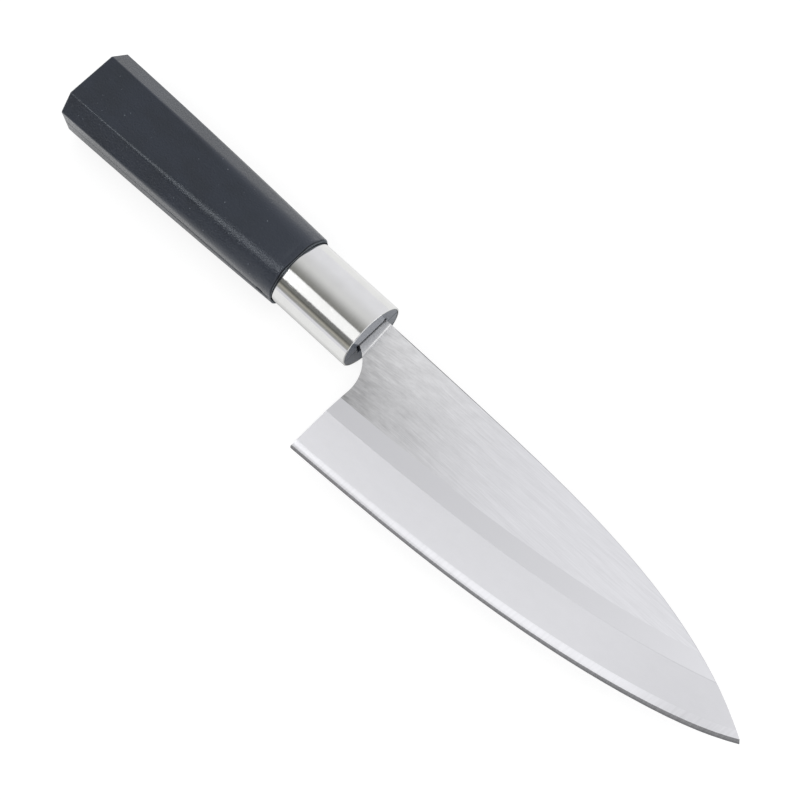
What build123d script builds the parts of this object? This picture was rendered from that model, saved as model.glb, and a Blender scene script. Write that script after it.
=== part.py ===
from build123d import *
import os
from math import cos, pi, radians, sin, sqrt, tan

# A single-bevel fish knife lying on its left side, in millimetres.
# X runs from the butt of the handle to the tip, Y from the edge to the spine, Z out of the bevelled face.
# Every piece is drawn from the butt, the handle's axis and the parting plane, and shifted together at the end.

# Handle: two moulded halves that meet on the plane of the blade
handle_length = 99.3
handle_width = 23.8
butt_height = 30.7
butt_drop = 0.75
front_height = 27.0
corner_cut = 5.8
front_corner_cut = 6.5
butt_corner_radius = 0.8
front_corner_radius = 8.0
butt_chamfer = 0.35
lip_chamfers = (0.45, 0.15)
end_land = 1.0
flat_trim = 0.02
seam_width = 0.28
seam_depth = 0.2
section_shares = (0, 0.22, 0.44, 0.64, 0.82, 1)
top_power, belly_power, cut_power, radius_power = 1.3, 1.15, 3, 2.2

# Oval sink mark on the belly seam
dimple_length = 3.3
dimple_width = 1.8
dimple_depth = 0.35
dimple_setback = 5.2

# Coring inside the halves
handle_wall = 3.0
butt_wall = 4.5
core_depth = 6.5
rib_thickness = 1.8
rib_count = 4
peg_diameter = 3.0
peg_height = 4.0
peg_clearance = 0.1
boss_wall = 1.6

# Ferrule: a plain oval sleeve
ferrule_reach = 33.4
ferrule_height = 25.8
ferrule_width = 21.1
ferrule_wall = 0.5
ferrule_rim_chamfer = 0.15
ferrule_tuck = 3.0
ferrule_fit = 0.1
lip_gap = 0.25
face_recess = 0.15

# Blade outline
blade_length = 165.0
blade_height = 51.75
spine_rise = 7.2
heel_gap = 7.3
heel_lean = 1.1
heel_radius = 14.2
heel_corner_round = 0.5
neck_height = 12.4
edge_rise = 28.35
tip_height = 0.5
tip_setback = 0.9
edge_line_share, edge_belly_share, edge_tip_share = 0.29, 0.63, 0.08
edge_belly_power, edge_tip_power = 2.9, 16
spine_line_share, spine_belly_share = 0.05, 0.95
spine_belly_power = 4.2

# Blade thickness
blade_thickness = 3.6
neck_thickness = 3.8
neck_raw_length = 2.3
neck_ramp = 0.5
neck_step_lean = 4.1
taper_length = 90.0
taper_drop = 0.6
taper_power = 2
spine_chamfer = 0.3

# Grinds on the right face, measured up from the edge
strip_reach = 22.5
strip_fall = 0.12
bevel_reach = 16.1
band_reach = 3.1
band_reach_tip = 4.2
band_thickness = 1.2
micro_reach = 0.9
micro_reach_tip = 1.5
micro_power = 3
micro_thickness = 0.65
edge_land = 0.08

# Hollow in the left face
hollow_depth = 0.35
hollow_end_depth = 0.05
hollow_edge_rim = 2.4
hollow_spine_rim = 3.2
hollow_shares = (0.04, 0.9)

# Tang and the resin that beds it
tang_length = 94.0
tang_end_height = 6.4
tang_end_thickness = 3.0
tang_notch_depth = 1.4
tang_notch_length = 5.0
tang_notch_shares = (0.3, 0.62)
tang_top_share = 0.5
bond_gap = 0.7
slot_depth = 5.0
slot_side_gap = 0.8
slot_top_gap = 0.1
slot_foot_gap = 1.2
relief_height = 0.8
relief_width = 0.7

overrun = 2.0
grind_stations = 12

# Places worked out from the sizes
x_front = handle_length + ferrule_reach
x_heel = x_front + heel_gap
x_tip = x_heel + blade_length
x_step = x_front + neck_raw_length
x_tang = x_front - tang_length
y_spine = spine_rise
y_heel = spine_rise - blade_height
y_neck = spine_rise - neck_height
z_right = blade_thickness / 2
z_left = -blade_thickness / 2
face_x = x_front - face_recess
channel_front = x_front - slot_depth
spigot_height = ferrule_height - 2 * (ferrule_wall + ferrule_fit)
spigot_width = ferrule_width - 2 * (ferrule_wall + ferrule_fit)


def across(x):
    """Plane square to the knife's axis: local x is the knife's Y, local y is its Z."""
    return Plane(origin=(x, 0, 0), x_dir=(0, 1, 0), z_dir=(1, 0, 0))


def block(low, high):
    """Box between two opposite corners."""
    size = [b - a for a, b in zip(low, high)]
    centre = [(a + b) / 2 for a, b in zip(low, high)]
    return Pos(*centre) * Box(*size)


def oval(height, width):
    """Oval of four tangent arcs that meet at 45 degrees. Ovals with one wall between them share their centres."""
    centre = (height - width) / 2 / (2 - sqrt(2))
    reach = (height / 2 - centre) * sin(pi / 4)
    far, near = centre + reach, reach
    lines = ThreePointArc((far, -near), (height / 2, 0), (far, near))
    lines += ThreePointArc((far, near), (0, width / 2), (-far, near))
    lines += ThreePointArc((-far, near), (-height / 2, 0), (-far, -near))
    lines += ThreePointArc((-far, -near), (0, -width / 2), (far, -near))
    return make_face(lines)


# Side lines of the handle, above and below its axis

def handle_share(x):
    """How far a place is along the shaped stretch between the two straight ends."""
    return min(max((x - end_land) / (handle_length - 2 * end_land), 0), 1)


def handle_top(x):
    butt = butt_height / 2 - butt_drop
    return butt + (front_height / 2 - butt) * handle_share(x) ** top_power


def handle_belly(x):
    butt = butt_height / 2 + butt_drop
    return -(butt + (front_height / 2 - butt) * handle_share(x) ** belly_power)


def section_places():
    return [end_land + share * (handle_length - 2 * end_land) for share in section_shares]


def handle_section(x):
    """Octagon with rounded corners, nearly sharp at the butt and soft at the front."""
    share = handle_share(x)
    top = handle_top(x)
    belly = handle_belly(x)
    side = handle_width / 2 + flat_trim
    cut = corner_cut + (front_corner_cut - corner_cut) * share ** cut_power
    radius = butt_corner_radius + (front_corner_radius - butt_corner_radius) * share ** radius_power
    right = [(top, side - cut), (top - cut, side), (belly + cut, side), (belly, side - cut)]
    left = [(y, -z) for y, z in reversed(right)]
    outline = Polygon(*right, *left, align=None)
    return across(x) * fillet(outline.vertices(), radius)


def handle_form():
    """The whole handle before it is parted: octagonal body, lip, and the oval spigot for the ferrule."""
    butt = extrude(handle_section(0), end_land)
    butt = chamfer(butt.faces().sort_by(Axis.X)[0].edges(), butt_chamfer)
    lip = extrude(handle_section(handle_length), -end_land)
    for width in lip_chamfers:
        lip = chamfer(lip.faces().sort_by(Axis.X)[-1].edges(), width)
    body = loft([handle_section(x) for x in section_places()]) + butt + lip
    body &= block((0, -butt_height, -handle_width / 2), (handle_length, butt_height, handle_width / 2))
    groove_back = handle_length - ferrule_tuck
    mouth = oval(ferrule_height + 2 * lip_gap, ferrule_width + 2 * lip_gap)
    body -= extrude(across(groove_back) * mouth, ferrule_tuck + overrun)
    spigot = oval(spigot_height, spigot_width)
    body += extrude(across(groove_back) * spigot, face_x - groove_back)
    return body


def side_outline(inset):
    """Side view of the octagonal body, drawn in by an inset."""
    places = [inset] + section_places() + [handle_length - inset]
    top = [(x, handle_top(x) - inset) for x in places]
    belly = [(x, handle_belly(x) + inset) for x in places]
    lines = Spline(*top) + Spline(*belly) + Line(top[0], belly[0]) + Line(top[-1], belly[-1])
    return make_face(lines)


def seam_groove():
    """Fine groove where the halves meet, all round the body and down the front face."""
    outer = extrude(side_outline(-overrun), seam_width / 2, both=True)
    inner = extrude(side_outline(seam_depth), seam_width / 2, both=True)
    face = block(
        (face_x - seam_depth, -spigot_height, -seam_width / 2),
        (face_x + overrun, spigot_height, seam_width / 2),
    )
    return outer - inner + face


def tang_outline(grow=0):
    """Stick tang in side view, from the ferrule's face to its rear end, drawn out by grow."""
    middle = y_neck + neck_height * tang_top_share
    front = neck_height / 2 + grow
    rear = tang_end_height / 2 + grow
    back = x_tang - grow
    return [(x_front, middle + front), (back, middle + rear), (back, middle - rear), (x_front, middle - front)]


def tang_channel():
    """Space round the tang that the resin fills."""
    side = make_face(Polyline(*tang_outline(bond_gap), close=True))
    depth = neck_thickness / 2 + bond_gap
    space = extrude(side, depth, both=True)
    ahead = block((channel_front, -handle_width, -handle_width), (x_tip, handle_width, handle_width))
    return space - ahead


def tang_slot():
    """Open slot in the front face, a little larger than the neck, with a wider relief at its upper end."""
    side = neck_thickness / 2 + slot_side_gap
    slot = block(
        (channel_front, y_neck - slot_foot_gap, -side),
        (x_front + overrun, y_spine + slot_top_gap, side),
    )
    relief = block(
        (channel_front, y_spine - relief_height, -side - relief_width),
        (x_front + overrun, y_spine + slot_top_gap, side + relief_width),
    )
    return slot + relief


def rib_places():
    """Middle of each cross rib between the butt wall and the ferrule's groove."""
    start = butt_wall
    end = handle_length - ferrule_tuck - handle_wall
    pitch = (end - start) / (rib_count + 1)
    return [start + pitch * (i + 1) for i in range(rib_count)]


def core_row(edge_of, sign):
    """One row of cored pockets between the tang channel and the outer wall."""
    start = butt_wall
    end = handle_length - ferrule_tuck - handle_wall
    channel = neck_height / 2 + bond_gap + rib_thickness
    middle = y_neck + neck_height * tang_top_share
    outer = [(x, edge_of(x) - sign * handle_wall) for x in (start, end)]
    inner = [(end, middle + sign * channel), (start, middle + sign * channel)]
    row = extrude(make_face(Polyline(*outer, *inner, close=True)), core_depth, both=True)
    for x in rib_places():
        half = rib_thickness / 2
        row -= block((x - half, -butt_height, -handle_width), (x + half, butt_height, handle_width))
    return row


def peg_places():
    """One peg above the tang channel at the first rib and one below it at the last."""
    channel = neck_height / 2 + bond_gap + rib_thickness
    middle = y_neck + neck_height * tang_top_share
    first, last = rib_places()[0], rib_places()[-1]
    upper = (handle_top(first) - handle_wall + middle + channel) / 2
    lower = (handle_belly(last) + handle_wall + middle - channel) / 2
    return [(first, upper), (last, lower)]


def at_pegs(radius, low, high):
    """Upright cylinders at every peg, between two heights."""
    pin = Cylinder(radius, high - low, align=(Align.CENTER, Align.CENTER, Align.MIN))
    return [Pos(x, y, low) * pin for x, y in peg_places()]


def handle_halves():
    """Right and left half, each with half the channel, slot, coring and dimple."""
    cores = core_row(handle_top, 1) + core_row(handle_belly, -1)
    for boss in at_pegs(peg_diameter / 2 + boss_wall, -core_depth, core_depth):
        cores -= boss
    form = handle_form() - seam_groove() - cores - tang_channel() - tang_slot() - dimple()
    reach = x_front + overrun
    right = form & block((-overrun, -butt_height, 0), (reach, butt_height, handle_width))
    left = form & block((-overrun, -butt_height, -handle_width), (reach, butt_height, 0))
    for socket in at_pegs(peg_diameter / 2 + peg_clearance, -overrun, peg_height + peg_clearance):
        right -= socket
    for peg in at_pegs(peg_diameter / 2, -peg_height, peg_height):
        left += peg
    return right, left


def dimple():
    """Shallow oval recess on the belly seam, just behind the lip."""
    x = handle_length - dimple_setback
    y = handle_belly(x)
    floor = Plane(origin=(x, y + dimple_depth, 0), x_dir=(1, 0, 0), z_dir=(0, -1, 0))
    return extrude(floor * SlotOverall(dimple_length, dimple_width), dimple_depth + overrun)


def ferrule():
    """Oval sleeve with a chamfered front rim."""
    back = handle_length - ferrule_tuck
    length = x_front - back
    outer = extrude(across(back) * oval(ferrule_height, ferrule_width), length)
    outer = chamfer(outer.faces().sort_by(Axis.X)[-1].edges(), ferrule_rim_chamfer)
    hole = oval(ferrule_height - 2 * ferrule_wall, ferrule_width - 2 * ferrule_wall)
    return outer - extrude(across(back - overrun) * hole, length + 2 * overrun)


# Lines of the blade against the share of its length from heel to tip

def edge_y(share):
    ahead = max(share, 0)
    belly = edge_belly_share * ahead ** edge_belly_power
    sweep = edge_tip_share * ahead ** edge_tip_power
    return y_heel + edge_rise * (edge_line_share * share + belly + sweep)


def spine_y(share):
    ahead = max(share, 0)
    drop = blade_height - edge_rise - tip_height
    return y_spine - drop * (spine_line_share * ahead + spine_belly_share * ahead ** spine_belly_power)


def right_z(share):
    """Height of the right face, which thins towards the tip."""
    x = x_heel + share * blade_length
    ahead = max(x - (x_tip - taper_length), 0)
    return z_right - taper_drop * (ahead / taper_length) ** taper_power


def blade_points(line, last_share):
    """Points on one of the blade's long lines, from the heel to a last share."""
    shares = [last_share * i / grind_stations for i in range(grind_stations + 1)]
    return [(x_heel + share * blade_length, line(share)) for share in shares]


def blade_outline():
    """Side view of blade, neck and tang in one closed outline."""
    spine = blade_points(spine_y, 1 - tip_setback / blade_length)
    edge = blade_points(edge_y, 1)
    tang = tang_outline()
    heel_top_x = x_heel + heel_lean
    reach = heel_top_x - x_front
    arc_centre_y = y_neck - sqrt(heel_radius ** 2 - (heel_radius - reach) ** 2)
    arc_middle = (
        heel_top_x - heel_radius + heel_radius * cos(pi / 6),
        arc_centre_y + heel_radius / 2,
    )
    lines = Polyline(spine[0], *tang)
    lines += ThreePointArc(tang[-1], arc_middle, (heel_top_x, arc_centre_y))
    lines += Line((heel_top_x, arc_centre_y), edge[0])
    lines += Spline(*edge)
    lines += Line(edge[-1], spine[-1])
    lines += Spline(*spine)
    face = make_face(lines)
    corner = face.vertices().sort_by_distance((x_heel, y_heel, 0))[0]
    return fillet(corner, heel_corner_round)


def thickness_outline():
    """View from the edge: tapered tang, raw neck, the step down to the ground faces and the thinning tip."""
    neck = neck_thickness / 2
    rear = tang_end_thickness / 2
    x_ground = x_step + neck_ramp
    x_taper = x_tip - taper_length
    x_end = x_tip + overrun
    tip_right = (x_end, right_z(1 + overrun / blade_length))
    left = [(x_end, z_left), (x_ground, z_left), (x_step, -neck), (x_front, -neck), (x_tang - overrun, -rear)]
    right = [(x_tang - overrun, rear), (x_front, neck), (x_step, neck), (x_ground, z_right), (x_taper, z_right)]
    lines = Polyline(tip_right, *left, *right)
    lines += TangentArc(right[-1], tip_right, tangent=(1, 0))
    return Plane.XZ * make_face(lines)


# Each line along the blade is a distance from the edge and a height, at a share of the blade's length

def spread(heel_value, tip_value, share, power=1):
    return heel_value + (tip_value - heel_value) * min(max(share, 0), 1) ** power


def micro_line(share):
    reach = spread(micro_reach, micro_reach_tip, share, micro_power)
    slope = (micro_thickness - edge_land) / micro_reach
    return reach, z_left + edge_land + slope * reach


def band_line(share):
    widened = micro_line(share)[1] - micro_line(0)[1]
    return spread(band_reach, band_reach_tip, share), z_left + band_thickness + widened / 2


def bevel_line(share):
    return bevel_reach, right_z(share) - strip_fall


def ground_away(lower, upper):
    """Metal above the ground face that runs through two of the blade's lines."""
    sections = []
    for i in range(grind_stations + 1):
        share = (1 + 2 * overrun / blade_length) * i / grind_stations - overrun / blade_length
        near, low = lower(share)
        far, high = upper(share)
        slope = (high - low) / (far - near)
        start = (edge_y(share) + near - strip_reach, low - slope * strip_reach)
        end = (edge_y(share) + far + strip_reach, high + slope * strip_reach)
        ceiling = end[1] + blade_thickness
        section = Polygon(start, end, (end[0], ceiling), (start[0], ceiling), align=None)
        sections.append(across(x_heel + share * blade_length) * section)
    return loft(sections)


def bevels():
    """The four grinds of the right face, from the flat down to the cutting edge."""
    return [
        ground_away(bevel_line, lambda share: (strip_reach, right_z(share))),
        ground_away(band_line, bevel_line),
        ground_away(micro_line, band_line),
        ground_away(lambda share: (0, z_left + edge_land), micro_line),
    ]


def spine_bevel():
    """Small chamfer along the spine's right edge, past the raw neck."""
    first_share = (x_step + overrun - x_heel) / blade_length
    sections = []
    for i in range(grind_stations + 1):
        share = first_share + (1 + overrun / blade_length - first_share) * i / grind_stations
        y = spine_y(share)
        z = right_z(share)
        low = (y - spine_chamfer - overrun, z + overrun)
        high = (y + overrun, z - spine_chamfer - overrun)
        section = Polygon(low, high, (high[0], low[1]), align=None)
        sections.append(across(x_heel + share * blade_length) * section)
    return loft(sections)


def hollow():
    """Shallow hollow in the left face, with a flat rim along the edge and the spine."""
    first, last = hollow_shares
    sections = []
    for i in range(grind_stations + 1):
        step = i / grind_stations
        share = first + (last - first) * step
        low = edge_y(share) + hollow_edge_rim
        high = spine_y(share) - hollow_spine_rim
        depth = hollow_end_depth + (hollow_depth - hollow_end_depth) * 4 * step * (1 - step)
        arc = ThreePointArc((low, z_left), ((low + high) / 2, z_left + depth), (high, z_left))
        back = Polyline((high, z_left), (high, z_left - overrun), (low, z_left - overrun), (low, z_left))
        sections.append(across(x_heel + share * blade_length) * make_face(arc + back))
    return loft(sections)


def tang_notches():
    """Notches that key the tang into the resin, one in its belly and one in its back."""
    middle = y_neck + neck_height * tang_top_share
    cuts = []
    for share, sign in zip(tang_notch_shares, (1, -1)):
        x = x_tang + tang_length * share
        half_height = tang_end_height / 2 + (neck_height - tang_end_height) / 2 * share
        mouth = middle + sign * (half_height + overrun)
        floor = middle + sign * (half_height - tang_notch_depth)
        flare = tang_notch_length / 2 + tang_notch_depth
        profile = [(x - flare, mouth), (x - tang_notch_length / 2, floor)]
        profile += [(x + tang_notch_length / 2, floor), (x + flare, mouth)]
        cuts.append(extrude(make_face(Polyline(*profile, close=True)), neck_thickness, both=True))
    return cuts


def blade():
    """Outline met with its thickness profile, then ground."""
    plate = extrude(blade_outline(), neck_thickness, both=True)
    along_step = (-tan(radians(neck_step_lean)), 1, 0)
    plate &= extrude(thickness_outline(), blade_height + overrun, dir=along_step, both=True)
    for cut in bevels() + [spine_bevel(), hollow()] + tang_notches():
        plate -= cut
    return plate


def tang_bond(knife_blade):
    """Cured resin that fills the channel round the tang."""
    return tang_channel() - knife_blade


def main():
    knife_blade = blade()
    right, left = handle_halves()
    pieces = {
        "blade": knife_blade,
        "ferrule": ferrule(),
        "handle_right": right,
        "handle_left": left,
        "tang_bond": tang_bond(knife_blade),
    }
    to_origin = Pos(-x_tip / 2, -(handle_top(0) + y_heel) / 2, handle_width / 2)
    os.makedirs("parts", exist_ok=True)
    for name, piece in pieces.items():
        placed = to_origin * piece
        placed.label = name
        export_step(placed, f"parts/{name}.step")


main()
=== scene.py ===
from math import radians, sin, tan
from types import SimpleNamespace

import bpy
from mathutils import Matrix, Vector

# Looks for the fish knife. Lengths are metres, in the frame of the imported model.
MM = 0.001

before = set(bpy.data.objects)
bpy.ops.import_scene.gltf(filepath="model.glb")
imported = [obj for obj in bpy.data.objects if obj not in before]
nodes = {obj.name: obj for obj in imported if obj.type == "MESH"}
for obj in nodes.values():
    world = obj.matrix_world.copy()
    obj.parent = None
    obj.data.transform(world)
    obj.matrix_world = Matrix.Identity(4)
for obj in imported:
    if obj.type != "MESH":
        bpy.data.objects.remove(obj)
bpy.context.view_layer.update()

# Camera, fitted to the photograph
aim = Vector((2.29, 5.97, 11.9)) * MM
camera_azimuth = 50.94
camera_elevation = 70.02
camera_roll = -6.69
camera_distance = 593.0 * MM
camera_lens = 82.97
sensor_width = 36.0

# Studio floor: what it bounces, what a camera sees of its light, and the white added there, which in
# reflections is darkened near the knife as a painted contact shadow
floor_size = 6.0
floor_drop = 0.2 * MM
floor_bounce = 0.85
floor_seen = 0.3
floor_glow = 0.79
# Reach of the painted contact shadow that the floor shows in reflections
floor_shade_reach = 17 * MM
floor_mirrored = 0.94

# Studio dome: its brightness by the angle from overhead, in degrees, where minus is the side of the edge
dome_by_handle = [
    (-90, (0.88, 0.88, 0.93)),
    (-77, (0.88, 0.88, 0.93)),
    (-72, (0.28, 0.28, 0.26)),
    (-67, (0.52, 0.50, 0.44)),
    (-60, (0.10, 0.10, 0.09)),
    (-56, (0.21, 0.21, 0.20)),
    (-48, (0.18, 0.18, 0.18)),
    (-45, (0.22, 0.22, 0.22)),
    (-18, (0.18, 0.18, 0.18)),
    (-13, (0.24, 0.24, 0.22)),
    (-5, (0.34, 0.34, 0.33)),
    (3, (0.50, 0.50, 0.49)),
    (11, (0.67, 0.67, 0.67)),
    (20, (0.79, 0.79, 0.79)),
    (36, (0.81, 0.81, 0.83)),
    (60, (0.93, 0.93, 0.97)),
    (90, (0.95, 0.95, 0.99)),
]
dome_by_butt = [(-90, (0.45, 0.45, 0.48)), (-77, (0.40, 0.40, 0.43))] + dome_by_handle[2:]
dome_by_blade = [
    (-90, (0.95, 0.95, 0.97)),
    (-70, (0.80, 0.80, 0.80)),
    (-62, (0.29, 0.29, 0.29)),
    (-48, (0.29, 0.29, 0.29)),
    (-45, (0.60, 0.60, 0.60)),
    (-13, (0.80, 0.80, 0.80)),
    (6, (0.80, 0.80, 0.80)),
    (20, (0.86, 0.86, 0.86)),
    (60, (0.98, 0.98, 1.0)),
    (90, (1.0, 1.0, 1.0)),
]
# The dome's parts from the butt to the tip, and where each turns into the next, in degrees towards the tip
domes = [dome_by_butt, dome_by_handle, dome_by_blade]
dome_turns = [(-24, -21.5), (-18.5, -10)]

# Softboxes: the long one over the side of the edge, a small one past the tip and one over the handle
key_place = Vector((-0.37, -0.595, 0.99))
key_length = 1.8
key_width = 0.576
key_power = 3.1
fill_place = Vector((0.50, 0.25, 1.03))
fill_length = 0.36
fill_width = 0.5
fill_power = 1.1
streak_place = Vector((-0.61, -0.59, 0.94))
streak_length = 0.16
streak_width = 0.56
streak_power = 1.6

# Places that the blade's finish follows
heel_x = -12.5 * MM
heel_y = -29.575 * MM
blade_length = 165.0 * MM
edge_rise = 28.35 * MM
edge_line_share, edge_belly_share, edge_tip_share = 0.29, 0.63, 0.08
edge_belly_power, edge_tip_power = 2.9, 16
strip_reach = 22.5 * MM
bevel_reach = 16.1 * MM
band_reach, band_reach_tip = 3.1 * MM, 4.2 * MM
micro_reach, micro_reach_tip = 0.9 * MM, 1.5 * MM
micro_power = 3
step_x, step_y = -17.5 * MM, 14.975 * MM
step_lean = 4.1
near_strip_top, near_strip_foot = 52 * MM, 21 * MM

# How softly the ground zones of the blade meet: half the width of each border
zone_blend = 0.05 * MM
micro_blend = 0.04 * MM
# Half widths of the painted shade along the bevel line
crease_shade_inner, crease_shade_outer = 0.05 * MM, 0.25 * MM
# Reach of the painted shade along the honed band's rims
low_band_start, low_band_end = 0.9 * MM, 2.0 * MM
high_band_depth = 0.7 * MM
# Depth of the painted shade at the very edge
edge_shade_depth = 0.9 * MM

# Handle: its front face, its lip, and where its long edges grow soft from the butt to the lip
face_x = -20.5 * MM
face_blend = 0.1 * MM
lip_x = -53.2 * MM
easing_start, easing_full = -130.0 * MM, -70.0 * MM
easing_sharp, easing_soft = 0.3 * MM, 4.5 * MM
lip_easing_start, lip_easing_end = lip_x - 3 * MM, lip_x - 1 * MM
# Where the painted light on the handle towards the lip begins
lip_light_start = lip_x - 40 * MM
# Painted shade in the gap between the lip and the sleeve: where it starts, is full, fades and ends
joint_shade_start, joint_shade_full = lip_x - 0.28 * MM, lip_x - 0.15 * MM
joint_shade_fade, joint_shade_end = lip_x + 0.2 * MM, lip_x + 1.0 * MM

# Depth of each relief that is too fine for the mesh
brushing_depth = 0.006 * MM
ripple_depth = 0.015 * MM
ring_depth = 0.002 * MM
grain_depth = 0.15 * MM


class Graph:
    """Short calls for the nodes of one material."""

    def __init__(self, name):
        self.material = bpy.data.materials.new(name)
        self.material.use_nodes = True
        self.tree = self.material.node_tree
        self.bsdf = self.tree.nodes["Principled BSDF"]

    def add(self, kind, **settings):
        made = self.tree.nodes.new("ShaderNode" + kind)
        for key, value in settings.items():
            setattr(made, key, value)
        return made

    def feed(self, socket, value):
        """Links a socket to another, or sets a constant on it."""
        if isinstance(value, bpy.types.NodeSocket):
            self.tree.links.new(value, socket)
        elif socket.type == "RGBA":
            socket.default_value = (*value, 1)
        else:
            socket.default_value = value

    def surface(self, **values):
        """Feeds the shader's inputs by name, with underscores for spaces."""
        for key, value in values.items():
            self.feed(self.bsdf.inputs[key.replace("_", " ")], value)

    def place(self, stretch=(1, 1, 1), turn=0):
        """Object coordinates in millimetres, drawn out along each axis and turned about Z."""
        mapping = self.add("Mapping", vector_type="TEXTURE")
        self.feed(mapping.inputs["Vector"], self.add("TexCoord").outputs["Object"])
        self.feed(mapping.inputs["Rotation"], (0, 0, radians(turn)))
        self.feed(mapping.inputs["Scale"], [MM * s for s in stretch])
        return mapping.outputs["Vector"]

    def axes(self):
        """The three object coordinates, in metres."""
        split = self.add("SeparateXYZ")
        self.feed(split.inputs["Vector"], self.add("TexCoord").outputs["Object"])
        return split.outputs

    def math(self, operation, *values):
        made = self.add("Math", operation=operation)
        for socket, value in zip(made.inputs, values):
            self.feed(socket, value)
        return made.outputs[0]

    def noise(self, vector, scale=1.0, detail=2.0, roughness=0.5):
        made = self.add("TexNoise")
        self.feed(made.inputs["Vector"], vector)
        self.feed(made.inputs["Scale"], scale)
        self.feed(made.inputs["Detail"], detail)
        self.feed(made.inputs["Roughness"], roughness)
        return made.outputs["Fac"]

    def span(self, value, low, high, to_low=0.0, to_high=1.0):
        """Maps a range smoothly to another and holds its ends."""
        made = self.add("MapRange", interpolation_type="SMOOTHSTEP")
        for socket, given in zip(made.inputs, (value, low, high, to_low, to_high)):
            self.feed(socket, given)
        return made.outputs["Result"]

    def mix(self, share, a, b):
        """Mixes two numbers by a share."""
        made = self.add("Mix", data_type="FLOAT")
        self.feed(made.inputs[0], share)
        self.feed(made.inputs[2], a)
        self.feed(made.inputs[3], b)
        return made.outputs[0]

    def colour(self, share, a, b):
        """Mixes two colours by a share."""
        made = self.add("Mix", data_type="RGBA")
        self.feed(made.inputs[0], share)
        self.feed(made.inputs[6], a)
        self.feed(made.inputs[7], b)
        return made.outputs[2]

    def vary(self, value, mark, amount):
        """Swings a value up and down by a mark whose middle is a half."""
        return self.math("MULTIPLY_ADD", self.math("SUBTRACT", mark, 0.5), amount, value)

    def bump(self, height, depth, under=None):
        """Relief of a given depth, laid over another normal if there is one."""
        made = self.add("Bump")
        self.feed(made.inputs["Distance"], depth)
        self.feed(made.inputs["Height"], height)
        if under is not None:
            self.feed(made.inputs["Normal"], under)
        return made.outputs["Normal"]


# Studio

def add_camera():
    data = bpy.data.cameras.new("camera")
    data.lens = camera_lens
    data.sensor_width = sensor_width
    camera = bpy.data.objects.new("camera", data)
    bpy.context.scene.collection.objects.link(camera)
    turn = Matrix.Rotation(radians(camera_azimuth), 4, "Z")
    tilt = Matrix.Rotation(radians(90 - camera_elevation), 4, "X")
    roll = Matrix.Rotation(radians(camera_roll), 4, "Z")
    back = Matrix.Translation((0, 0, camera_distance))
    camera.matrix_world = Matrix.Translation(aim) @ turn @ tilt @ roll @ back
    bpy.context.scene.camera = camera


def dome_ramp(tree, angle, stops):
    """Colour ramp over an angle, from a list of degrees and colours."""
    first, last = stops[0][0], stops[-1][0]
    reach = tree.nodes.new("ShaderNodeMapRange")
    reach.inputs["From Min"].default_value = radians(first)
    reach.inputs["From Max"].default_value = radians(last)
    ramp = tree.nodes.new("ShaderNodeValToRGB")
    made = ramp.color_ramp.elements
    while len(made) < len(stops):
        made.new(0.5)
    for stop, (degrees, colour) in zip(made, stops):
        stop.position = (degrees - first) / (last - first)
        stop.color = (*colour, 1)
    tree.links.new(angle, reach.inputs["Value"])
    tree.links.new(reach.outputs["Result"], ramp.inputs["Fac"])
    return ramp.outputs["Color"]


def add_world():
    """Dome whose brightness changes across the knife and along it."""
    world = bpy.data.worlds.new("studio")
    world.use_nodes = True
    bpy.context.scene.world = world
    tree = world.node_tree
    direction = tree.nodes.new("ShaderNodeTexCoord")
    split = tree.nodes.new("ShaderNodeSeparateXYZ")
    angle = tree.nodes.new("ShaderNodeMath")
    angle.operation = "ARCTAN2"
    tree.links.new(direction.outputs["Generated"], split.inputs[0])
    tree.links.new(split.outputs["Y"], angle.inputs[0])
    tree.links.new(split.outputs["Z"], angle.inputs[1])
    light, *others = [dome_ramp(tree, angle.outputs[0], stops) for stops in domes]
    for (start, end), shade in zip(dome_turns, others):
        side = tree.nodes.new("ShaderNodeMapRange")
        side.interpolation_type = "SMOOTHSTEP"
        side.inputs["From Min"].default_value = sin(radians(start))
        side.inputs["From Max"].default_value = sin(radians(end))
        blend = tree.nodes.new("ShaderNodeMix")
        blend.data_type = "RGBA"
        tree.links.new(split.outputs["X"], side.inputs["Value"])
        tree.links.new(side.outputs["Result"], blend.inputs[0])
        tree.links.new(light, blend.inputs[6])
        tree.links.new(shade, blend.inputs[7])
        light = blend.outputs[2]
    tree.links.new(light, tree.nodes["Background"].inputs["Color"])


def add_softbox(name, place, length, width, power):
    """Area lamp that faces the knife, with its length along the knife."""
    data = bpy.data.lights.new(name, "AREA")
    data.shape = "RECTANGLE"
    data.size = length
    data.size_y = width
    data.energy = power
    lamp = bpy.data.objects.new(name, data)
    bpy.context.scene.collection.objects.link(lamp)
    facing = (aim - place).normalized()
    side = facing.cross(Vector((1, 0, 0))).normalized()
    along = side.cross(facing)
    lamp.matrix_world = Matrix.Translation(place) @ Matrix((along, side, -facing)).transposed().to_4x4()


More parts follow.
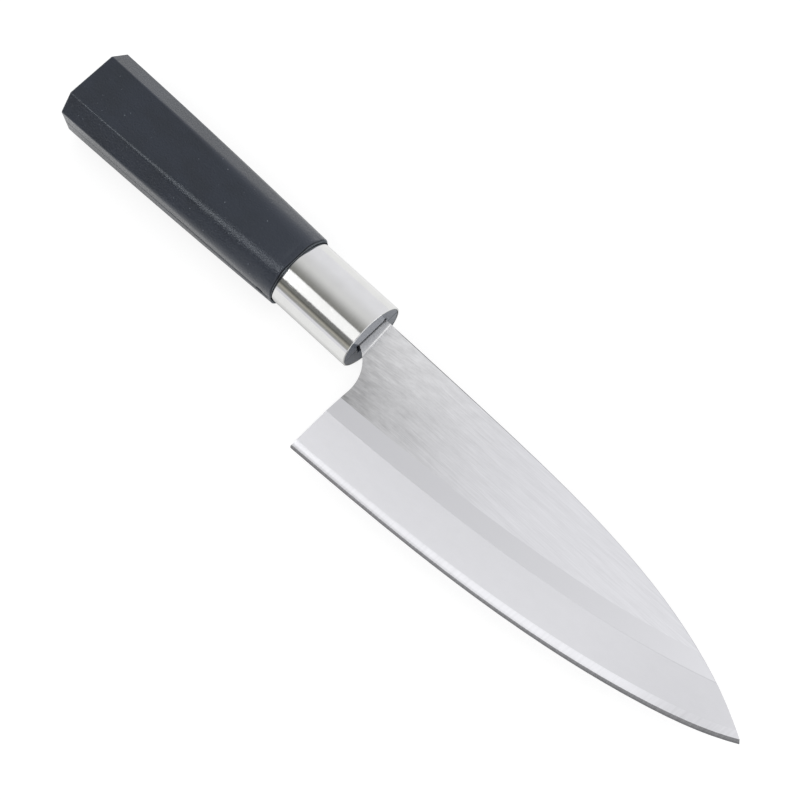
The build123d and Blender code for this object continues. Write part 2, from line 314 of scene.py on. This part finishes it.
def add_floor():
    """Pale floor that keeps the knife's shadow and looks white to the camera and in reflections, where a
    painted contact shadow darkens it near the knife.
    """
    bpy.ops.mesh.primitive_plane_add(size=floor_size, location=(0, 0, -floor_drop))
    floor = bpy.context.object
    floor.name = "floor"
    graph = Graph("floor_white")
    path = graph.add("LightPath")
    seen = graph.math("MAXIMUM", path.outputs["Is Camera Ray"], path.outputs["Is Glossy Ray"])
    seen = graph.math("MAXIMUM", seen, path.outputs["Is Transmission Ray"])
    shade = graph.math("MULTIPLY_ADD", seen, floor_seen - floor_bounce, floor_bounce)
    grey = graph.add("CombineColor")
    for socket in grey.inputs:
        graph.feed(socket, shade)
    # Painted contact shadow: ambient occlusion darkens the floor's glow near the knife, in reflections only
    contact_shade = graph.add("AmbientOcclusion", samples=4)
    graph.feed(contact_shade.inputs["Distance"], floor_shade_reach)
    mirrored = graph.math("MULTIPLY", contact_shade.outputs["AO"], floor_mirrored)
    mirrored = graph.mix(path.outputs["Is Glossy Ray"], 1.0, mirrored)
    glow = graph.math("MULTIPLY", graph.math("MULTIPLY", seen, floor_glow), mirrored)
    graph.surface(Base_Color=grey.outputs[0], Roughness=0.9, Specular_IOR_Level=0.0)
    graph.surface(Emission_Color=(1, 1, 1), Emission_Strength=glow)
    floor.data.materials.append(graph.material)


# Finishes

def above_edge(graph):
    """Share of the way from the heel to the tip, and the distance above the cutting edge."""
    x, y, _ = graph.axes()
    share = graph.math("DIVIDE", graph.math("SUBTRACT", x, heel_x), blade_length)
    ahead = graph.math("MAXIMUM", share, 0.0)
    belly = graph.math("MULTIPLY", graph.math("POWER", ahead, edge_belly_power), edge_belly_share)
    tip = graph.math("MULTIPLY", graph.math("POWER", ahead, edge_tip_power), edge_tip_share)
    line = graph.math("MULTIPLY_ADD", share, edge_line_share, graph.math("ADD", belly, tip))
    edge = graph.math("MULTIPLY_ADD", line, edge_rise, heel_y)
    return share, graph.math("SUBTRACT", y, edge)


def blade_zones(graph):
    """Where a point lies on the blade: shares from 0 to 1 for its ground zones, its sides and its ends."""
    share, height = above_edge(graph)
    x, y, _ = graph.axes()
    normal = graph.add("SeparateXYZ")
    graph.feed(normal.inputs["Vector"], graph.add("NewGeometry").outputs["True Normal"])
    band_top = graph.mix(share, band_reach, band_reach_tip)
    micro_top = graph.mix(graph.math("POWER", share, micro_power), micro_reach, micro_reach_tip)
    over_band = graph.math("SUBTRACT", height, band_top)
    over_micro = graph.math("SUBTRACT", height, micro_top)
    lean = graph.math("MULTIPLY_ADD", graph.math("SUBTRACT", y, step_y), tan(radians(step_lean)), x)
    return SimpleNamespace(
        share=share,
        height=height,
        over_band=over_band,
        right=graph.span(normal.outputs["Z"], 0.2, 0.4),
        spine=graph.span(normal.outputs["Y"], 0.3, 0.6),
        wall=graph.span(normal.outputs["X"], -0.3, -0.6),
        above=graph.span(height, strip_reach - zone_blend, strip_reach + zone_blend),
        below=graph.span(height, bevel_reach + zone_blend, bevel_reach - zone_blend),
        band=graph.span(over_band, zone_blend, -zone_blend),
        micro=graph.span(over_micro, micro_blend, -micro_blend),
        raw=graph.span(lean, step_x + zone_blend, step_x - zone_blend),
        near_heel=graph.span(share, 0.42, -0.08),
        near_tip=graph.span(share, 0.56, 0.86),
        near_strip=graph.span(height, near_strip_top, near_strip_foot),
    )


def blade_marks(graph, zone):
    """Brush marks that run along the blade and slant by the neck, cloudy wear, grain and honing strokes."""
    streaks = graph.noise(graph.place(stretch=(9, 0.3, 1), turn=1), detail=3.0, roughness=0.6)
    tilted = graph.noise(graph.place(stretch=(5, 0.5, 1), turn=8), detail=3.0, roughness=0.6)
    return SimpleNamespace(
        streaks=graph.mix(graph.span(zone.share, 0.2, 0.0), streaks, tilted),
        long_marks=graph.noise(graph.place(stretch=(30, 1.5, 1), turn=-1), detail=3.0),
        cloud=graph.noise(graph.place(stretch=(6, 2.6, 6), turn=4), detail=5.0, roughness=0.7),
        grain=graph.noise(graph.place(stretch=(0.4, 0.4, 0.4)), detail=2.0),
        strokes=graph.noise(graph.place(stretch=(0.8, 12, 12), turn=-6), detail=1.0),
    )


def flat_tone(graph, zone, marks):
    """Brushed flat: more marked near the heel, with painted shade low on the flat near the heel, a painted
    shadow under the neck, and darker near the tip.
    """
    # Painted shade low on the flat near the heel, and a painted shadow under the neck
    heel_shade = graph.math("MULTIPLY", zone.near_heel, zone.near_strip)
    neck_shadow = graph.math("MULTIPLY", graph.span(zone.share, 0.09, 0.0), zone.near_strip)
    tone = graph.math("MULTIPLY_ADD", heel_shade, -0.30, 0.84)
    tone = graph.math("MULTIPLY_ADD", neck_shadow, -0.12, tone)
    swings = ((marks.streaks, 0.18, 0.34), (marks.long_marks, 0.10, 0.10), (marks.cloud, 0.06, 0.46))
    for mark, by_tip, by_heel in swings:
        tone = graph.vary(tone, mark, graph.mix(zone.near_heel, by_tip, by_heel))
    return graph.math("MULTIPLY_ADD", zone.near_tip, -0.06, tone)


def bevel_tone(graph, zone, marks):
    """Satin bevel, a little darker at the tip."""
    tone = graph.mix(graph.span(zone.share, 0.6, 1.0), graph.mix(zone.share, 0.73, 0.75), 0.66)
    return graph.vary(tone, marks.cloud, 0.05)


def honed_tone(graph, zone, marks):
    """Honed band: brightest before the tip, with painted shade on its rims at the heel."""
    # Painted shade along the band's lower and upper rims near the heel
    low_rim_shade = graph.span(zone.height, low_band_start, low_band_end)
    low_rim_shade = graph.mix(low_rim_shade, graph.mix(zone.share, 0.62, 1.0), 1.0)
    high_rim_shade = graph.span(zone.over_band, -high_band_depth, 0.0)
    high_rim_shade = graph.mix(high_rim_shade, 1.0, graph.mix(zone.share, 0.92, 1.0))
    tone = graph.mix(graph.span(zone.share, 0.0, 0.6), 0.74, 0.93)
    tone = graph.mix(graph.span(zone.share, 0.74, 0.92), tone, 0.70)
    tone = graph.math("MULTIPLY", tone, graph.math("MULTIPLY", low_rim_shade, high_rim_shade))
    return graph.vary(tone, marks.strokes, 0.14)


def edge_tone(graph, zone, marks):
    """Small edge bevel with coarse strokes, with painted shade at the very edge, and darker towards the
    tip.
    """
    # Painted shade darkening the edge bevel towards the very edge
    tone = graph.mix(graph.span(zone.height, 0.0, edge_shade_depth), 0.65, 0.95)
    tone = graph.math("MULTIPLY", tone, graph.mix(zone.share, 1.0, 0.75))
    return graph.vary(tone, marks.strokes, 0.3)


def blade_tone(graph, zone, marks):
    """How much each zone throws back, laid one over the other."""
    strip = graph.mix(graph.span(zone.share, 0.1, 0.6), 0.74, 0.765)
    tone = graph.mix(zone.above, strip, flat_tone(graph, zone, marks))
    tone = graph.mix(zone.below, tone, bevel_tone(graph, zone, marks))
    # Painted shade along the bevel line towards the tip
    crease_shade = graph.math("ABSOLUTE", graph.math("SUBTRACT", zone.height, bevel_reach))
    crease_shade = graph.math("MULTIPLY", graph.span(crease_shade, crease_shade_outer, crease_shade_inner), zone.near_tip)
    tone = graph.math("MULTIPLY_ADD", crease_shade, -0.08, tone)
    tone = graph.mix(zone.band, tone, honed_tone(graph, zone, marks))
    tone = graph.mix(zone.micro, tone, edge_tone(graph, zone, marks))
    tone = graph.mix(zone.raw, tone, graph.math("MULTIPLY_ADD", marks.streaks, 0.2, 0.73))
    tone = graph.mix(zone.right, graph.math("MULTIPLY_ADD", marks.streaks, 0.2, 0.64), tone)
    # Painted shade on the blade's faces that look back towards the handle, such as the step wall
    tone = graph.mix(zone.wall, tone, 0.43)
    # Painted shade along the spine chamfer, lighter by the neck
    spine_shade = graph.mix(graph.span(zone.share, 0.05, 0.6), 0.15, 0.60)
    spine_shade = graph.mix(graph.span(zone.share, -0.08, 0.03), 0.80, spine_shade)
    return graph.mix(zone.spine, tone, spine_shade)


def blade_tint(graph, zone, tone):
    """Colour of the steel: a grey with a little blue in it."""
    blue = graph.mix(zone.above, 1.03, graph.mix(zone.near_heel, 1.03, 1.005))
    tint = graph.add("CombineColor")
    for socket, factor in zip(tint.inputs, (0.99, 0.99, blue)):
        graph.feed(socket, graph.math("MULTIPLY", tone, factor))
    return tint.outputs[0]


def blade_roughness(graph, zone, marks):
    rough = graph.vary(0.34, marks.streaks, 0.10)
    rough = graph.mix(zone.below, rough, graph.math("MULTIPLY_ADD", marks.grain, 0.06, 0.36))
    rough = graph.mix(zone.band, rough, 0.32)
    rough = graph.mix(zone.micro, rough, 0.16)
    return graph.mix(zone.right, 0.38, rough)


def blade_steel():
    """Ground stainless steel: long brushing on the flat, satin on the bevel, a honed band over the edge."""
    graph = Graph("blade_steel")
    zone = blade_zones(graph)
    marks = blade_marks(graph, zone)
    tone = blade_tone(graph, zone, marks)
    ridge = graph.math("MULTIPLY", marks.streaks, graph.mix(zone.right, 1.0, zone.above))
    graph.surface(
        Base_Color=blade_tint(graph, zone, tone),
        Metallic=1.0,
        Roughness=blade_roughness(graph, zone, marks),
        Normal=graph.bump(ridge, brushing_depth),
    )
    return graph.material


def sleeve_steel():
    """Polished sleeve with faint rings round it and a slightly wavy skin."""
    graph = Graph("ferrule_steel")
    rings = graph.noise(graph.place(stretch=(0.45, 12, 12)), detail=3.0, roughness=0.7)
    waves = graph.noise(graph.place(stretch=(1.6, 5, 5)), detail=2.0)
    wear = graph.noise(graph.place(stretch=(6, 6, 6)), detail=2.0)
    ripple = graph.bump(waves, ripple_depth)
    graph.surface(
        Base_Color=graph.colour(graph.span(wear, 0.3, 0.7), (0.73, 0.73, 0.72), (0.76, 0.76, 0.75)),
        Metallic=1.0,
        Roughness=graph.math("MULTIPLY_ADD", rings, 0.10, 0.06),
        Normal=graph.bump(rings, ring_depth, ripple),
    )
    return graph.material


def soft_edges(graph, x):
    """Normal that rounds the handle's long edges more and more towards the lip, and keeps the lip crisp."""
    easing = graph.span(x, easing_start, easing_full, easing_sharp, easing_soft)
    easing = graph.mix(graph.span(x, lip_easing_start, lip_easing_end), easing, easing_sharp)
    soft = graph.add("Bevel", samples=12)
    graph.feed(soft.inputs["Radius"], easing)
    return soft.outputs["Normal"]


def plastic_colour(graph, x, face, joint_shade):
    """Blue-black with pale specks, with painted light towards the lip, lighter on the front face, and
    painted shade in the joint.
    """
    cloud = graph.noise(graph.place(stretch=(14, 8, 8)), detail=2.0)
    specks = graph.noise(graph.place(stretch=(1.0, 1.0, 1.0)), detail=0.0)
    base = graph.colour(graph.span(cloud, 0.35, 0.65), (0.003, 0.006, 0.014), (0.006, 0.010, 0.021))
    # Painted light on the handle towards the lip
    base = graph.colour(graph.span(x, lip_light_start, lip_x), base, (0.010, 0.014, 0.026))
    base = graph.colour(graph.span(specks, 0.82, 0.88), base, (0.08, 0.09, 0.11))
    base = graph.colour(face, base, (0.052, 0.064, 0.092))
    # Painted shade, black, in the gap between the lip and the sleeve
    return graph.colour(joint_shade, base, (0.002, 0.003, 0.006))


def moulded_plastic():
    """Moulded plastic with a fine spark-eroded grain, glossy on its front face, with painted shade in the
    gap at its lip.
    """
    graph = Graph("handle_plastic")
    x, _, _ = graph.axes()
    face = graph.span(x, face_x - face_blend, face_x + face_blend)
    # Painted shade in the lip's gap, made black metal so that it throws back little light
    joint_shade = graph.span(x, joint_shade_start, joint_shade_full)
    joint_shade = graph.math("MULTIPLY", joint_shade, graph.span(x, joint_shade_end, joint_shade_fade))
    grain = graph.noise(graph.place(stretch=(0.7, 0.55, 0.55)), detail=2.0, roughness=0.6)
    rough = graph.mix(face, graph.math("MULTIPLY_ADD", grain, 0.10, 0.20), 0.05)
    height = graph.math("MULTIPLY", grain, graph.math("SUBTRACT", 1.0, face))
    graph.surface(
        Base_Color=plastic_colour(graph, x, face, joint_shade),
        Metallic=joint_shade,
        Roughness=rough,
        IOR=1.52,
        Coat_Weight=0.35,
        Coat_Roughness=0.42,
        Coat_IOR=1.5,
        Specular_Tint=(0.86, 0.93, 1.0),
        Sheen_Weight=0.03,
        Sheen_Roughness=0.4,
        Sheen_Tint=(0.85, 0.92, 1.0),
        Normal=graph.bump(height, grain_depth, soft_edges(graph, x)),
    )
    return graph.material


def cured_resin():
    """Brown translucent bedding resin, hidden in the handle."""
    graph = Graph("bond_resin")
    cloud = graph.noise(graph.place(stretch=(5, 5, 5)), detail=3.0)
    base = graph.colour(cloud, (0.30, 0.22, 0.12), (0.42, 0.33, 0.20))
    graph.surface(Base_Color=base, Roughness=graph.math("MULTIPLY_ADD", cloud, 0.2, 0.2))
    return graph.material


def paint(material, *names):
    for name in names:
        slots = nodes[name].data.materials
        slots.clear()
        slots.append(material)


add_camera()
add_world()
add_softbox("key", key_place, key_length, key_width, key_power)
add_softbox("fill", fill_place, fill_length, fill_width, fill_power)
add_softbox("streak", streak_place, streak_length, streak_width, streak_power)
add_floor()
paint(blade_steel(), "blade")
paint(sleeve_steel(), "ferrule")
paint(moulded_plastic(), "handle_right", "handle_left")
paint(cured_resin(), "tang_bond")

bpy.context.scene.view_settings.view_transform = "Standard"
